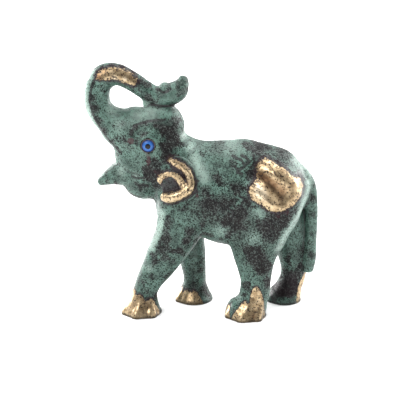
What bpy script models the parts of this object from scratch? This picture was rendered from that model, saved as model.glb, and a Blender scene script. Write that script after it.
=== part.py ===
"""A small cast bronze elephant that walks with its trunk curled back onto its forehead,
and the two glass beads set in its head as eyes.

The elephant faces -X, its left side is -Y, and its four soles stand on Z = 0.
The casting is one solid. Its big masses are lofted limbs and ellipsoids, which are fused and
smoothed into one skin. The slender forms, such as the trunk, ears, toes and tail, are laid on
that skin and fused to it with less smoothing, and then the carved lines are pressed in.
"""

import math

import bmesh
import bpy
import numpy as np
from mathutils import Matrix, Vector
from mathutils.bvhtree import BVHTree

# Driving sizes, in metres.
HEIGHT = 0.075
BEAD_DIAMETER = 0.0036
BEAD_THICKNESS = 0.0020
BEAD_PROUD = 0.0007
BEAD_CLEARANCE = 0.0003

# The figure's pose and proportions are shares of its height. They are written in figure units,
# of which there are 75 in the height, so they are millimetres on a figure 75 mm tall.
UNIT = HEIGHT / 75

# How finely the casting is made, in figure units.
MASS_VOXEL = 0.6
SKIN_VOXEL = 0.45
MASS_SMOOTHING = 20
SKIN_SMOOTHING = 5
CASTING_TRIANGLES = 8800
SHARP_ANGLE = math.radians(40)

# Sides of the body: -1 is its left, which is -Y, and 1 is its right.
LEFT, RIGHT = -1, 1

# Stations of a limb: x, y, z, radius in the side plane, radius across, in figure units.
TORSO = [
    (-9.0, 0.0, 38.5, 10.5, 8.0),
    (-4.0, 0.0, 38.0, 13.4, 10.0),
    (2.0, 0.0, 37.3, 14.8, 11.3),
    (9.0, 0.0, 36.2, 16.2, 12.0),
    (16.0, 0.0, 36.5, 15.9, 12.2),
    (22.0, 0.0, 37.2, 13.4, 11.3),
    (26.0, 0.0, 36.8, 10.6, 9.2),
    (29.3, 0.0, 36.0, 6.4, 5.6),
]
NECK = [
    (-1.0, 0.0, 42.0, 9.5, 9.0),
    (-6.0, 0.0, 44.0, 9.5, 8.4),
    (-11.0, 0.0, 46.5, 9.5, 8.2),
]
TRUNK_ROOT = [
    (-12.0, 0.0, 49.3, 9.2, 8.2),
    (-15.4, 0.0, 52.0, 9.1, 7.8),
    (-19.8, 0.0, 54.6, 7.8, 6.6),
    (-24.3, 0.0, 56.0, 6.0, 5.4),
    (-27.4, 0.0, 58.8, 4.3, 4.5),
]
LEFT_FORELEG = [
    (-5.2, -5.4, 35.0, 7.0, 5.6),
    (-6.2, -5.6, 26.8, 6.9, 5.0),
    (-7.6, -5.8, 23.4, 6.5, 4.8),
    (-9.8, -6.0, 19.5, 5.9, 4.4),
    (-12.1, -6.1, 15.3, 5.2, 4.0),
    (-14.8, -6.2, 10.8, 4.2, 3.7),
    (-16.2, -6.2, 7.6, 3.8, 3.6),
    (-16.9, -6.2, 5.2, 4.1, 3.8),
]
RIGHT_FORELEG = [
    (-4.0, 5.0, 35.0, 6.0, 5.6),
    (-4.0, 5.0, 26.0, 4.9, 4.6),
    (-3.5, 4.9, 20.0, 4.5, 4.2),
    (-2.9, 4.9, 15.8, 4.2, 4.0),
    (-2.6, 4.9, 11.2, 4.1, 3.7),
    (-2.2, 4.9, 8.4, 3.7, 3.5),
    (-2.1, 4.9, 5.4, 3.9, 3.6),
]
LEFT_HIND_LEG = [
    (19.5, -5.4, 32.0, 8.8, 6.4),
    (17.6, -5.8, 26.0, 8.6, 5.6),
    (16.4, -6.2, 21.0, 7.5, 4.9),
    (16.4, -6.6, 16.6, 6.0, 4.4),
    (16.7, -6.8, 11.8, 4.8, 4.1),
    (16.6, -6.9, 9.0, 4.6, 4.0),
    (16.2, -6.9, 5.6, 4.8, 4.2),
]
RIGHT_HIND_LEG = [
    (22.5, 5.2, 33.0, 8.8, 6.4),
    (26.0, 5.4, 26.0, 7.0, 5.5),
    (27.4, 5.5, 20.0, 5.5, 4.8),
    (28.0, 5.6, 14.8, 4.8, 4.3),
    (28.4, 5.6, 11.4, 4.3, 4.0),
    (28.2, 5.6, 8.0, 4.1, 3.7),
    (27.4, 5.6, 5.2, 4.2, 3.8),
]
TRUNK = [
    (-19.4, 0.0, 54.4, 6.4, 5.6),
    (-23.9, 0.0, 56.2, 5.4, 5.0),
    (-27.6, 0.0, 58.7, 4.3, 4.4),
    (-29.8, 0.0, 61.8, 3.85, 3.9),
    (-30.3, 0.0, 65.3, 3.85, 3.7),
    (-29.7, 0.0, 68.5, 3.85, 3.6),
    (-27.4, 0.0, 70.8, 3.75, 3.4),
    (-23.8, 0.0, 71.2, 3.2, 3.1),
    (-20.2, 0.0, 69.5, 2.9, 2.8),
    (-16.8, 0.0, 67.25, 2.8, 2.7),
    (-13.9, 0.0, 65.4, 2.9, 2.9),
    (-11.0, 0.0, 64.8, 2.9, 3.3),
    (-8.6, 0.0, 65.7, 3.3, 3.7),
    (-6.8, 0.0, 67.2, 3.3, 3.6),
    (-5.5, 0.0, 69.2, 2.3, 2.9),
    (-5.0, 0.0, 70.4, 1.5, 2.0),
]
LOWER_LIP = [
    (-18.0, 0.0, 41.5, 5.2, 5.0),
    (-22.0, 0.0, 42.0, 4.6, 4.2),
    (-25.2, 0.0, 41.2, 3.4, 3.2),
    (-28.0, 0.0, 39.9, 2.1, 2.2),
    (-30.2, 0.0, 38.8, 1.2, 1.3),
]
TAIL = [
    (26.5, 0.0, 44.2, 2.4, 2.2),
    (29.5, 0.2, 42.3, 2.4, 2.2),
    (31.5, 0.5, 38.8, 2.4, 2.2),
    (32.4, 0.8, 34.5, 2.3, 2.1),
    (33.2, 1.5, 28.0, 1.8, 1.8),
    (33.1, 2.3, 21.5, 1.8, 1.8),
    (33.0, 2.7, 15.5, 2.0, 2.0),
    (32.4, 3.0, 11.0, 1.9, 1.9),
]

# Ellipsoids: centre and radii, in figure units. Those at y over 0 are made on both sides.
CRANIUM = ((-11.7, 0.0, 56.3), (7.1, 6.6, 7.3))
MUZZLE = ((-19.9, 0.0, 47.2), (5.8, 5.8, 6.6))
JAW = ((-16.9, 0.0, 40.6), (6.8, 5.8, 7.0))
CHEST = ((-6.9, 0.0, 32.0), (6.8, 6.6, 9.5))
SHOULDER = ((-3.5, 5.4, 34.0), (8.0, 5.4, 10.5))
HAUNCH = ((19.8, 5.2, 35.6), (10.4, 7.4, 13.2))
BROW = ((-15.0, 4.6, 52.6), (5.4, 3.6, 4.6))

# Feet: centre of the sole, its radius, and its side of the body. A foot flares from the ankle,
# at share 0, to the sole, at share 1. It is made past the ground, and cut off there.
FOOT_PROFILE = [(8.4, -0.4), (6.2, 0.0), (3.9, 0.3), (2.1, 0.66), (0.7, 1.0), (-1.5, 1.0)]
FEET = {
    "left_forefoot": ((-17.4, -6.2), 5.95, LEFT),
    "right_forefoot": ((-2.3, 4.6), 5.7, RIGHT),
    "left_hind_foot": ((14.0, -6.9), 6.25, LEFT),
    "right_hind_foot": ((25.7, 5.6), 5.3, RIGHT),
}
# Ankles: x of the middle, and radius.
ANKLES = {
    "left_forefoot": (-16.7, 3.7),
    "right_forefoot": (-2.1, 3.4),
    "left_hind_foot": (16.2, 4.2),
    "right_hind_foot": (27.4, 3.7),
}
# Toes fan out from straight ahead towards the outer side, in degrees.
TOE_ANGLES = (-28, 24, 76, 128)
TOE_RADIUS = 1.9
TOE_RELIEF = 0.55

# The ear's leaf, as its middle (x, z) and radii, and its folds, as points of the side plane
# (x, z), with the share of the fold's radius there. EAR_LIFT is how far the middle of a fold
# stands out of the skin.
EAR_LEAF = ((-6.2, 42.6), (5.4, 1.4, 7.0))
EAR_RIM = [
    (-8.3, 48.4, 0.75), (-6.0, 47.4, 1.0), (-4.1, 46.0, 1.1), (-2.8, 44.2, 1.1), (-2.2, 42.3, 1.1),
    (-2.5, 40.9, 1.2), (-3.2, 39.8, 1.2),
]
EAR_FOLD = [
    (-11.6, 41.8, 0.8), (-10.9, 43.4, 0.85), (-8.8, 44.5, 0.85), (-6.8, 44.1, 1.0), (-5.2, 42.5, 1.2),
    (-4.0, 40.8, 1.3),
]
EAR_LOBE = [
    (-10.2, 37.5, 1.0), (-8.2, 37.6, 1.15), (-6.0, 38.5, 1.1), (-4.2, 39.4, 1.0), (-3.0, 40.2, 1.0),
]
EAR_RIM_RADIUS, EAR_FOLD_RADIUS, EAR_LOBE_RADIUS = 1.05, 1.0, 1.5
EAR_LIFT = 1.2

# The eye's place in the side plane (x, z).
EYE = (-14.8, 52.2)

# Carved lines: points of the side plane (x, z), width, and height above the skin, which is
# below 0 for a groove. They are the same on both sides.
HIP_GROOVE = ([(16.2, 45.2), (19.6, 42.4), (23.4, 38.8)], 2.4, -1.1)
THIGH_SWELL = ([(15.6, 41.2), (18.2, 38.9), (20.8, 36.8)], 2.2, 0.9)
RUMP_SWELL = ([(22.4, 44.8), (25.8, 42.0), (27.2, 38.6)], 2.4, 0.6)
SHOULDER_GROOVE = ([(1.2, 35.0), (0.9, 29.0), (-0.6, 24.0)], 1.2, -0.5)
BROW_LINE = ([(-20.6, 53.6), (-18.6, 56.8), (-14.4, 58.6), (-8.6, 58.2)], 1.0, 0.2)
MOUTH_LINE = ([(-24.6, 46.2), (-21.6, 43.6), (-17.8, 42.6)], 0.8, -0.45)
CARVED_LINES = (HIP_GROOVE, THIGH_SWELL, RUMP_SWELL, SHOULDER_GROOVE, BROW_LINE, MOUTH_LINE)

# The hollow of the trunk's tip: its centre, its radius and its depth.
NOSTRILS = ((-7.9, 0.0, 69.6), 1.5, 1.5)
TRUNK_LIP = ((-10.3, 0.0, 67.0), (2.1, 3.0, 2.3))
# Cast metal that fills the narrow end of the trunk's loop.
LOOP_FILL = ((-15.6, 0.0, 63.4), (1.5, 1.9, 1.9))

# Looks of the solids.
PATINA_COLOUR = (0.11, 0.23, 0.19, 1)
BEAD_COLOUR = (0.05, 0.17, 0.55, 1)


def clear_scene():
    for scene_object in list(bpy.data.objects):
        bpy.data.objects.remove(scene_object)


def smooth_rows(rows, steps):
    """The rows of numbers, with steps - 1 more between each two, on a Catmull-Rom curve."""
    rows = np.array(rows, float)
    padded = np.vstack([2 * rows[0] - rows[1], rows, 2 * rows[-1] - rows[-2]])
    made = []
    for before, start, end, after in zip(padded, padded[1:], padded[2:], padded[3:]):
        for t in np.arange(steps) / steps:
            bend = 2 * before - 5 * start + 4 * end - after
            twist = 3 * start - before - 3 * end + after
            made.append(start + 0.5 * t * (end - before + t * (bend + t * twist)))
    made.append(rows[-1])
    return np.array(made)


def rounded_ends(rows, rings=4):
    """The rows, with a half-round end of shrinking rings before the first and after the last."""
    made = [tuple(row) for row in rows]
    for near, inner, place in ((rows[0], rows[1], 0), (rows[-1], rows[-2], None)):
        outward = (near[:3] - inner[:3]) / np.linalg.norm(near[:3] - inner[:3])
        reach = 0.5 * min(near[3], near[4])
        for ring in range(1, rings + 1):
            turn = math.pi / 2 * ring / (rings + 0.3)
            centre = near[:3] + outward * reach * math.sin(turn)
            row = (*centre, near[3] * math.cos(turn), near[4] * math.cos(turn))
            made.insert(0 if place == 0 else len(made), row)
    return np.array(made)


def add_limb(bm, stations, sides=28, steps=4):
    """A closed tube of elliptical rings along the stations, which are in figure units."""
    rows = rounded_ends(smooth_rows(stations, steps)) * UNIT
    centres = rows[:, :3]
    tangents = np.gradient(centres, axis=0)
    rings = []
    for centre, tangent, (side_radius, across_radius) in zip(centres, tangents, rows[:, 3:]):
        along = Vector(tangent).normalized()
        across = (Vector((0, 1, 0)) - along * along.y).normalized()
        side = along.cross(across)
        ring = []
        for index in range(sides):
            turn = math.tau * index / sides
            offset = side * side_radius * math.cos(turn) + across * across_radius * math.sin(turn)
            ring.append(bm.verts.new(Vector(centre) + offset))
        rings.append(ring)
    for ring, following in zip(rings, rings[1:]):
        for index in range(sides):
            after = (index + 1) % sides
            bm.faces.new((ring[index], ring[after], following[after], following[index]))
    bm.faces.new(rings[0])
    bm.faces.new(rings[-1])


def add_ellipsoid(bm, centre, radii):
    """An ellipsoid, with its centre and radii in figure units."""
    made = bmesh.ops.create_uvsphere(bm, u_segments=32, v_segments=20, radius=UNIT)
    place = Matrix.Translation(Vector(centre) * UNIT) @ Matrix.Diagonal((*radii, 1.0))
    bmesh.ops.transform(bm, matrix=place, verts=made["verts"])


def add_on_both_sides(bm, centre, radii):
    x, y, z = centre
    for side in (LEFT, RIGHT):
        add_ellipsoid(bm, (x, side * y, z), radii)


def evaluated_mesh(name, mesh, modifiers):
    """The mesh as it is after the modifiers, each (type, {setting: value})."""
    scratch = bpy.data.objects.new(name, mesh)
    bpy.context.collection.objects.link(scratch)
    for kind, settings in modifiers:
        modifier = scratch.modifiers.new(kind.title(), kind)
        for setting, value in settings.items():
            setattr(modifier, setting, value)
    graph = bpy.context.evaluated_depsgraph_get()
    made = bpy.data.meshes.new_from_object(scratch.evaluated_get(graph))
    bpy.data.objects.remove(scratch)
    return made


def fused(name, bm, voxel, smoothing, factor):
    """One skin around all the overlapping shapes in bm, with its seams smoothed."""
    bmesh.ops.recalc_face_normals(bm, faces=bm.faces)
    mesh = bpy.data.meshes.new(name)
    bm.to_mesh(mesh)
    bm.free()
    remesh = {"mode": "VOXEL", "voxel_size": voxel * UNIT, "adaptivity": 0.0}
    smooth = {"factor": factor, "iterations": smoothing}
    return evaluated_mesh(name, mesh, [("REMESH", remesh), ("SMOOTH", smooth)])


def body_masses():
    """The torso, head and legs, fused and well smoothed."""
    bm = bmesh.new()
    for stations in (TORSO, NECK, TRUNK_ROOT):
        add_limb(bm, stations)
    for stations in (LEFT_FORELEG, RIGHT_FORELEG, LEFT_HIND_LEG, RIGHT_HIND_LEG):
        add_limb(bm, stations)
    for centre, radii in (CRANIUM, MUZZLE, JAW, CHEST):
        add_ellipsoid(bm, centre, radii)
    for centre, radii in (SHOULDER, HAUNCH, BROW):
        add_on_both_sides(bm, centre, radii)
    return fused("masses", bm, MASS_VOXEL, MASS_SMOOTHING, 0.8)


class Skin:
    """Finds points on a mesh, as seen from one side of the elephant."""

    def __init__(self, mesh):
        bm = bmesh.new()
        bm.from_mesh(mesh)
        self.tree = BVHTree.FromBMesh(bm)
        bm.free()

    def across(self, x, z, side):
        """The y where the skin is met at (x, z) from that side, all in figure units."""
        start = Vector((x, side * 75, z)) * UNIT
        place = self.tree.ray_cast(start, Vector((0, -side, 0)))[0]
        return place.y / UNIT


def add_fold(bm, skin, line, radius, side):
    """A rounded ridge that follows the skin along a line of the side plane."""
    stations = []
    for x, z, share in line:
        y = skin.across(x, z, side) + side * EAR_LIFT
        stations.append((x, y, z, radius * share, radius * share))
    add_limb(bm, stations, sides=16)


def add_ear(bm, skin, side):
    (x, z), radii = EAR_LEAF
    add_ellipsoid(bm, (x, skin.across(x, z, side), z), radii)
    add_fold(bm, skin, EAR_RIM, EAR_RIM_RADIUS, side)
    add_fold(bm, skin, EAR_FOLD, EAR_FOLD_RADIUS, side)
    add_fold(bm, skin, EAR_LOBE, EAR_LOBE_RADIUS, side)


def add_foot(bm, name):
    """A foot that flares from the ankle to the sole, with its fan of toes."""
    (x, y), radius, side = FEET[name]
    ankle_x, ankle_radius = ANKLES[name]
    flare = []
    for z, share in FOOT_PROFILE:
        middle = ankle_x + (x - ankle_x) * share
        reach = ankle_radius + (radius - ankle_radius) * share
        flare.append((middle, y, z, reach, reach))
    add_limb(bm, flare)
    for angle in TOE_ANGLES:
        turn = math.radians(angle)
        toe = []
        for (middle, _, z, reach, _), (_, share) in zip(flare, FOOT_PROFILE):
            toe_radius = TOE_RADIUS * (0.4 + 0.6 * share)
            out = reach + TOE_RELIEF * share - toe_radius
            toe_x = middle - out * math.cos(turn)
            toe_y = y + side * out * math.sin(turn)
            toe.append((toe_x, toe_y, z, toe_radius, toe_radius))
        add_limb(bm, toe, sides=16)


def skin_with_features(masses):
    """The masses with the trunk, lip, tail, ears and feet fused on."""
    skin = Skin(masses)
    bm = bmesh.new()
    bm.from_mesh(masses)
    for stations in (TRUNK, LOWER_LIP, TAIL):
        add_limb(bm, stations)
    add_ellipsoid(bm, *TRUNK_LIP)
    add_ellipsoid(bm, *LOOP_FILL)
    for side in (LEFT, RIGHT):
        add_ear(bm, skin, side)
    for name in FEET:
        add_foot(bm, name)
    return fused("skin", bm, SKIN_VOXEL, SKIN_SMOOTHING, 0.5)


def distance_to_line(points, line):
    """How far each point of the side plane is from a line of points."""
    nearest = np.full(len(points), np.inf)
    for start, end in zip(line, line[1:]):
        start, run = np.array(start), np.subtract(end, start)
        share = np.clip((points - start) @ run / (run @ run), 0, 1)
        nearest = np.minimum(nearest, np.linalg.norm(points - start - share[:, None] * run, axis=1))
    return nearest


def carve(mesh):
    """Presses the carved lines into both sides, and the hollow into the trunk's tip."""
    count = len(mesh.vertices)
    points = np.empty(count * 3, np.float32)
    normals = np.empty(count * 3, np.float32)
    mesh.vertices.foreach_get("co", points)
    mesh.vertices.foreach_get("normal", normals)
    points = points.reshape(-1, 3).astype(float) / UNIT
    normals = normals.reshape(-1, 3).astype(float)
    lift = np.zeros(count)
    facing = np.clip(2 * np.abs(normals[:, 1]), 0, 1) * (normals[:, 1] * points[:, 1] > 0)
    for line, width, height in CARVED_LINES:
        distance = distance_to_line(points[:, [0, 2]], smooth_rows(line, 6))
        lift += height * facing * np.exp(-((distance / width) ** 2))
    centre, radius, depth = NOSTRILS
    distance = np.linalg.norm(points - centre, axis=1)
    lift -= depth * np.exp(-((distance / radius) ** 2)) * np.clip(normals[:, 2], 0, 1)
    points += normals * lift[:, None]
    mesh.vertices.foreach_set("co", (points * UNIT).astype(np.float32).ravel())
    mesh.update()


def stand_on_ground(mesh):
    """Cuts the mesh off flat at the ground, and closes its four soles."""
    bm = bmesh.new()
    bm.from_mesh(mesh)
    everything = bm.verts[:] + bm.edges[:] + bm.faces[:]
    ground, up = (0, 0, 0), (0, 0, 1)
    near = 0.001 * UNIT
    bmesh.ops.bisect_plane(
        bm, geom=everything, dist=near, plane_co=ground, plane_no=up, clear_inner=True
    )
    rims = [edge for edge in bm.edges if edge.is_boundary]
    bmesh.ops.edgenet_fill(bm, edges=rims)
    bmesh.ops.triangulate(bm, faces=[face for face in bm.faces if len(face.verts) > 3])
    bmesh.ops.recalc_face_normals(bm, faces=bm.faces)
    bm.to_mesh(mesh)
    bm.free()


def glossy_material(name, colour, roughness, metallic):
    material = bpy.data.materials.new(name)
    material.use_nodes = True
    shader = material.node_tree.nodes["Principled BSDF"]
    shader.inputs["Base Color"].default_value = colour
    shader.inputs["Roughness"].default_value = roughness
    shader.inputs["Metallic"].default_value = metallic
    return material


def finished_object(name, mesh, material, parent):
    mesh.materials.clear()
    mesh.materials.append(material)
    mesh.shade_smooth()
    mesh.set_sharp_from_angle(angle=SHARP_ANGLE)
    made = bpy.data.objects.new(name, mesh)
    bpy.context.collection.objects.link(made)
    made.parent = parent
    return made


def casting_mesh():
    skin = skin_with_features(body_masses())
    carve(skin)
    share = CASTING_TRIANGLES / (2 * len(skin.polygons))
    thinned = evaluated_mesh("thinned", skin, [("DECIMATE", {"ratio": share})])
    stand_on_ground(thinned)
    return thinned


def round_bead(name, radius, thickness, rings=5, sides=28):
    """A disc with a domed front, turned about Y. Its front faces -Y and its back is at y = 0."""
    dome = thickness * 0.45
    profile = [(radius * 0.86, 0.0), (radius, -dome * 0.5)]
    for ring in range(rings):
        turn = math.pi / 2 * ring / rings
        profile.append((radius * math.cos(turn), -(thickness - dome) - dome * math.sin(turn)))
    bm = bmesh.new()
    back = bm.verts.new((0, 0, 0))
    front = bm.verts.new((0, -thickness, 0))
    turned = []
    for out, y in profile:
        turns = [math.tau * index / sides for index in range(sides)]
        turned.append([bm.verts.new((out * math.cos(t), y, out * math.sin(t))) for t in turns])
    for index in range(sides):
        after = (index + 1) % sides
        bm.faces.new((back, turned[0][index], turned[0][after]))
        bm.faces.new((front, turned[-1][after], turned[-1][index]))
        for ring, following in zip(turned, turned[1:]):
            bm.faces.new((ring[index], following[index], following[after], ring[after]))
    bmesh.ops.recalc_face_normals(bm, faces=bm.faces)
    mesh = bpy.data.meshes.new(name)
    bm.to_mesh(mesh)
    bm.free()
    return mesh


def socket_cutter(name, place, radius, depth, side, parent):
    """A round cutter that reaches from outside the head to the floor of the bead's socket."""
    reach = 4 * radius
    bm = bmesh.new()
    bmesh.ops.create_cone(
        bm, cap_ends=True, segments=32, radius1=radius, radius2=radius, depth=depth + reach
    )
    bmesh.ops.rotate(bm, verts=bm.verts, matrix=Matrix.Rotation(math.pi / 2, 3, "X"))
    mesh = bpy.data.meshes.new(name)
    bm.to_mesh(mesh)
    bm.free()
    cutter = bpy.data.objects.new(name, mesh)
    bpy.context.collection.objects.link(cutter)
    x, y, z = place
    cutter.location = (x, y + side * (reach - depth) / 2, z)
    cutter.hide_render = True
    cutter.display_type = "WIRE"
    cutter.parent = parent
    return cutter


def set_eye(casting, skin, side, glass, parent):
    """Cuts a socket in the head and seats a bead in it."""
    word = "left" if side == LEFT else "right"
    x, y, z = Vector((EYE[0], skin.across(*EYE, side), EYE[1])) * UNIT
    seat = BEAD_THICKNESS - BEAD_PROUD
    cutter = socket_cutter(
        f"{word}_socket_cutter",
        (x, y, z),
        BEAD_DIAMETER / 2 + BEAD_CLEARANCE,
        seat + BEAD_CLEARANCE,
        side,
        parent,
    )
    cut = casting.modifiers.new(f"{word} socket", "BOOLEAN")
    cut.operation = "DIFFERENCE"
    cut.object = cutter
    bead = finished_object(
        f"{word}_eye_bead",
        round_bead(f"{word}_eye_bead", BEAD_DIAMETER / 2, BEAD_THICKNESS),
        glass,
        parent,
    )
    bead.location = (x, y - side * seat, z)
    if side == RIGHT:
        bead.rotation_euler = (0, 0, math.pi)


def main():
    clear_scene()
    bronze = glossy_material("patinated_bronze", PATINA_COLOUR, 0.45, 0.3)
    glass = glossy_material("blue_bead_glass", BEAD_COLOUR, 0.12, 0.0)
    figure = bpy.data.objects.new("figure", None)
    bpy.context.collection.objects.link(figure)
    mesh = casting_mesh()
    casting = finished_object("elephant_casting", mesh, bronze, figure)
    skin = Skin(mesh)
    for side in (LEFT, RIGHT):
        set_eye(casting, skin, side, glass, figure)
    corners = np.array([tuple(vertex.co) for vertex in mesh.vertices])
    middle = (corners.min(0) + corners.max(0)) / 2
    figure.location = (-middle[0], -middle[1], 0)


main()
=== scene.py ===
import math

import bmesh
import bpy
import numpy as np
from mathutils import Matrix, Vector, noise
from mathutils.bvhtree import BVHTree


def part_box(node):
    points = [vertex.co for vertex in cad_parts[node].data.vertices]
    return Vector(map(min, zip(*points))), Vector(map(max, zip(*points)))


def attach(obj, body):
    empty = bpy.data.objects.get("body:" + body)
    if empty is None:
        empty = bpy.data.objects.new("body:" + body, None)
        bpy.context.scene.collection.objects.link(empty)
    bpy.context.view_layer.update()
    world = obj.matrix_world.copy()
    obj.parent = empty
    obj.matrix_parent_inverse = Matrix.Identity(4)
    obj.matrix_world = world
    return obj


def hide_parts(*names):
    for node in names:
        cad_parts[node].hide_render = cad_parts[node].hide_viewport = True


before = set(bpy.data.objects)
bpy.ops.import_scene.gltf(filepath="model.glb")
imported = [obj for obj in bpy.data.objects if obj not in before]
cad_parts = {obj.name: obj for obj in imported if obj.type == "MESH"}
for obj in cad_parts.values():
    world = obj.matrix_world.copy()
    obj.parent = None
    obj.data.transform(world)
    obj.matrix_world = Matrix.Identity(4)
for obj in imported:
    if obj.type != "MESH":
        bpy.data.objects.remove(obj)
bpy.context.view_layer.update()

# Sizes, in metres, the same as those of the solids.
HEIGHT = 0.075
BEAD_DIAMETER = 0.0036
BEAD_THICKNESS = 0.0020
BEAD_PROUD = 0.0007
BEAD_CLEARANCE = 0.0003

# The figure's pose and proportions are shares of its height. They are written in figure units,
# of which there are 75 in the height, so they are millimetres on a figure 75 mm tall.
UNIT = HEIGHT / 75

# How finely the surface is made, in figure units.
MASS_VOXEL = 0.6
SKIN_VOXEL = 0.34
MASS_SMOOTHING = 20
SKIN_SMOOTHING = 5

# The ring of glue round a bead: its thickness, and how far its middle lies under the skin.
GLUE_THICKNESS = 0.00020
GLUE_SINK = 0.0001
# The dressed casting keeps this far inside the box of the solid that it dresses.
BOX_MARGIN = 0.00001

# The camera: degrees round from the left side and up, distance from its target, and the width
# of the picture at the target, in metres.
CAMERA_AZIMUTH, CAMERA_ELEVATION = 3.0, 18.0
CAMERA_DISTANCE = 0.326
CAMERA_TARGET = (-0.00072, 0.0002, 0.0336)
VIEW_WIDTH = 0.1192
SENSOR_WIDTH = 36

# How bright the surround is from each direction.
FRONT_GLOW, BACK_GLOW, SIDE_GLOW, TOP_GLOW = 0.14, 1.5, 0.6, 0.5
# Lamps that face the figure: place and size in metres, and power in watts.
LAMPS = {
    "key": ((-0.30, -0.40, 0.42), 0.34, 2.6),
    "top": ((0.1, 0.1, 0.8), 0.6, 5.0),
    "left_rim": ((-0.42, 0.28, 0.14), 0.34, 5.0),
    "right_rim": ((0.42, 0.28, 0.20), 0.34, 3.2),
}
LAMP_TARGET = (0, 0, 0.035)

# Sides of the body: -1 is its left, which is -Y, and 1 is its right.
LEFT, RIGHT = -1, 1

# Stations of a limb: x, y, z, radius in the side plane, radius across, in figure units.
TORSO = [
    (-9, 0, 38.5, 10.5, 8),
    (-4, 0, 38, 13.4, 10),
    (2, 0, 37.3, 14.8, 11.3),
    (9, 0, 36.2, 16.2, 12),
    (16, 0, 36.5, 15.9, 12.2),
    (22, 0, 37.2, 13.4, 11.3),
    (26, 0, 36.8, 10.6, 9.2),
    (29.3, 0, 36, 6.4, 5.6),
]
NECK = [
    (-1, 0, 42, 9.5, 9),
    (-6, 0, 44, 9.5, 8.4),
    (-11, 0, 46.5, 9.5, 8.2),
]
TRUNK_ROOT = [
    (-12, 0, 49.3, 9.2, 8.2),
    (-15.4, 0, 52, 9.1, 7.8),
    (-19.8, 0, 54.6, 7.8, 6.6),
    (-24.3, 0, 56, 6, 5.4),
    (-27.4, 0, 58.8, 4.3, 4.5),
]
LEFT_FORELEG = [
    (-5.2, -5.4, 35, 7, 5.6),
    (-6.2, -5.6, 26.8, 6.9, 5),
    (-7.6, -5.8, 23.4, 6.5, 4.8),
    (-9.8, -6, 19.5, 5.9, 4.4),
    (-12.1, -6.1, 15.3, 5.2, 4),
    (-14.8, -6.2, 10.8, 4.2, 3.7),
    (-16.2, -6.2, 7.6, 3.8, 3.6),
    (-16.9, -6.2, 5.2, 4.1, 3.8),
]
RIGHT_FORELEG = [
    (-4, 5, 35, 6, 5.6),
    (-4, 5, 26, 4.9, 4.6),
    (-3.5, 4.9, 20, 4.5, 4.2),
    (-2.9, 4.9, 15.8, 4.2, 4),
    (-2.6, 4.9, 11.2, 4.1, 3.7),
    (-2.2, 4.9, 8.4, 3.7, 3.5),
    (-2.1, 4.9, 5.4, 3.9, 3.6),
]
LEFT_HIND_LEG = [
    (19.5, -5.4, 32, 8.8, 6.4),
    (17.6, -5.8, 26, 8.6, 5.6),
    (16.4, -6.2, 21, 7.5, 4.9),
    (16.4, -6.6, 16.6, 6, 4.4),
    (16.7, -6.8, 11.8, 4.8, 4.1),
    (16.6, -6.9, 9, 4.6, 4),
    (16.2, -6.9, 5.6, 4.8, 4.2),
]
RIGHT_HIND_LEG = [
    (22.5, 5.2, 33, 8.8, 6.4),
    (26, 5.4, 26, 7, 5.5),
    (27.4, 5.5, 20, 5.5, 4.8),
    (28, 5.6, 14.8, 4.8, 4.3),
    (28.4, 5.6, 11.4, 4.3, 4),
    (28.2, 5.6, 8, 4.1, 3.7),
    (27.4, 5.6, 5.2, 4.2, 3.8),
]
TRUNK = [
    (-19.4, 0, 54.4, 6.4, 5.6),
    (-23.9, 0, 56.2, 5.4, 5),
    (-27.6, 0, 58.7, 4.3, 4.4),
    (-29.8, 0, 61.8, 3.85, 3.9),
    (-30.3, 0, 65.3, 3.85, 3.7),
    (-29.7, 0, 68.5, 3.85, 3.6),
    (-27.4, 0, 70.8, 3.75, 3.4),
    (-23.8, 0, 71.2, 3.2, 3.1),
    (-20.2, 0, 69.5, 2.9, 2.8),
    (-16.8, 0, 67.25, 2.8, 2.7),
    (-13.9, 0, 65.4, 2.9, 2.9),
    (-11, 0, 64.8, 2.9, 3.3),
    (-8.6, 0, 65.7, 3.3, 3.7),
    (-6.8, 0, 67.2, 3.3, 3.6),
    (-5.5, 0, 69.2, 2.3, 2.9),
    (-5, 0, 70.4, 1.5, 2),
]
LOWER_LIP = [
    (-18, 0, 41.5, 5.2, 5),
    (-22, 0, 42, 4.6, 4.2),
    (-25.2, 0, 41.2, 3.4, 3.2),
    (-28, 0, 39.9, 2.1, 2.2),
    (-30.2, 0, 38.8, 1.2, 1.3),
]
TAIL = [
    (26.5, 0, 44.2, 2.4, 2.2),
    (29.5, 0.2, 42.3, 2.4, 2.2),
    (31.5, 0.5, 38.8, 2.4, 2.2),
    (32.4, 0.8, 34.5, 2.3, 2.1),
    (33.2, 1.5, 28, 1.8, 1.8),
    (33.1, 2.3, 21.5, 1.8, 1.8),
    (33, 2.7, 15.5, 2, 2),
    (32.4, 3, 11, 1.9, 1.9),
]

# Ellipsoids: centre and radii, in figure units. Those at y over 0 are made on both sides.
CRANIUM = ((-11.7, 0, 56.3), (7.1, 6.6, 7.3))
MUZZLE = ((-19.9, 0, 47.2), (5.8, 5.8, 6.6))
JAW = ((-16.9, 0, 40.6), (6.8, 5.8, 7))
CHEST = ((-6.9, 0, 32), (6.8, 6.6, 9.5))
SHOULDER = ((-3.5, 5.4, 34), (8, 5.4, 10.5))
HAUNCH = ((19.8, 5.2, 35.6), (10.4, 7.4, 13.2))
BROW = ((-15, 4.6, 52.6), (5.4, 3.6, 4.6))

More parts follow.
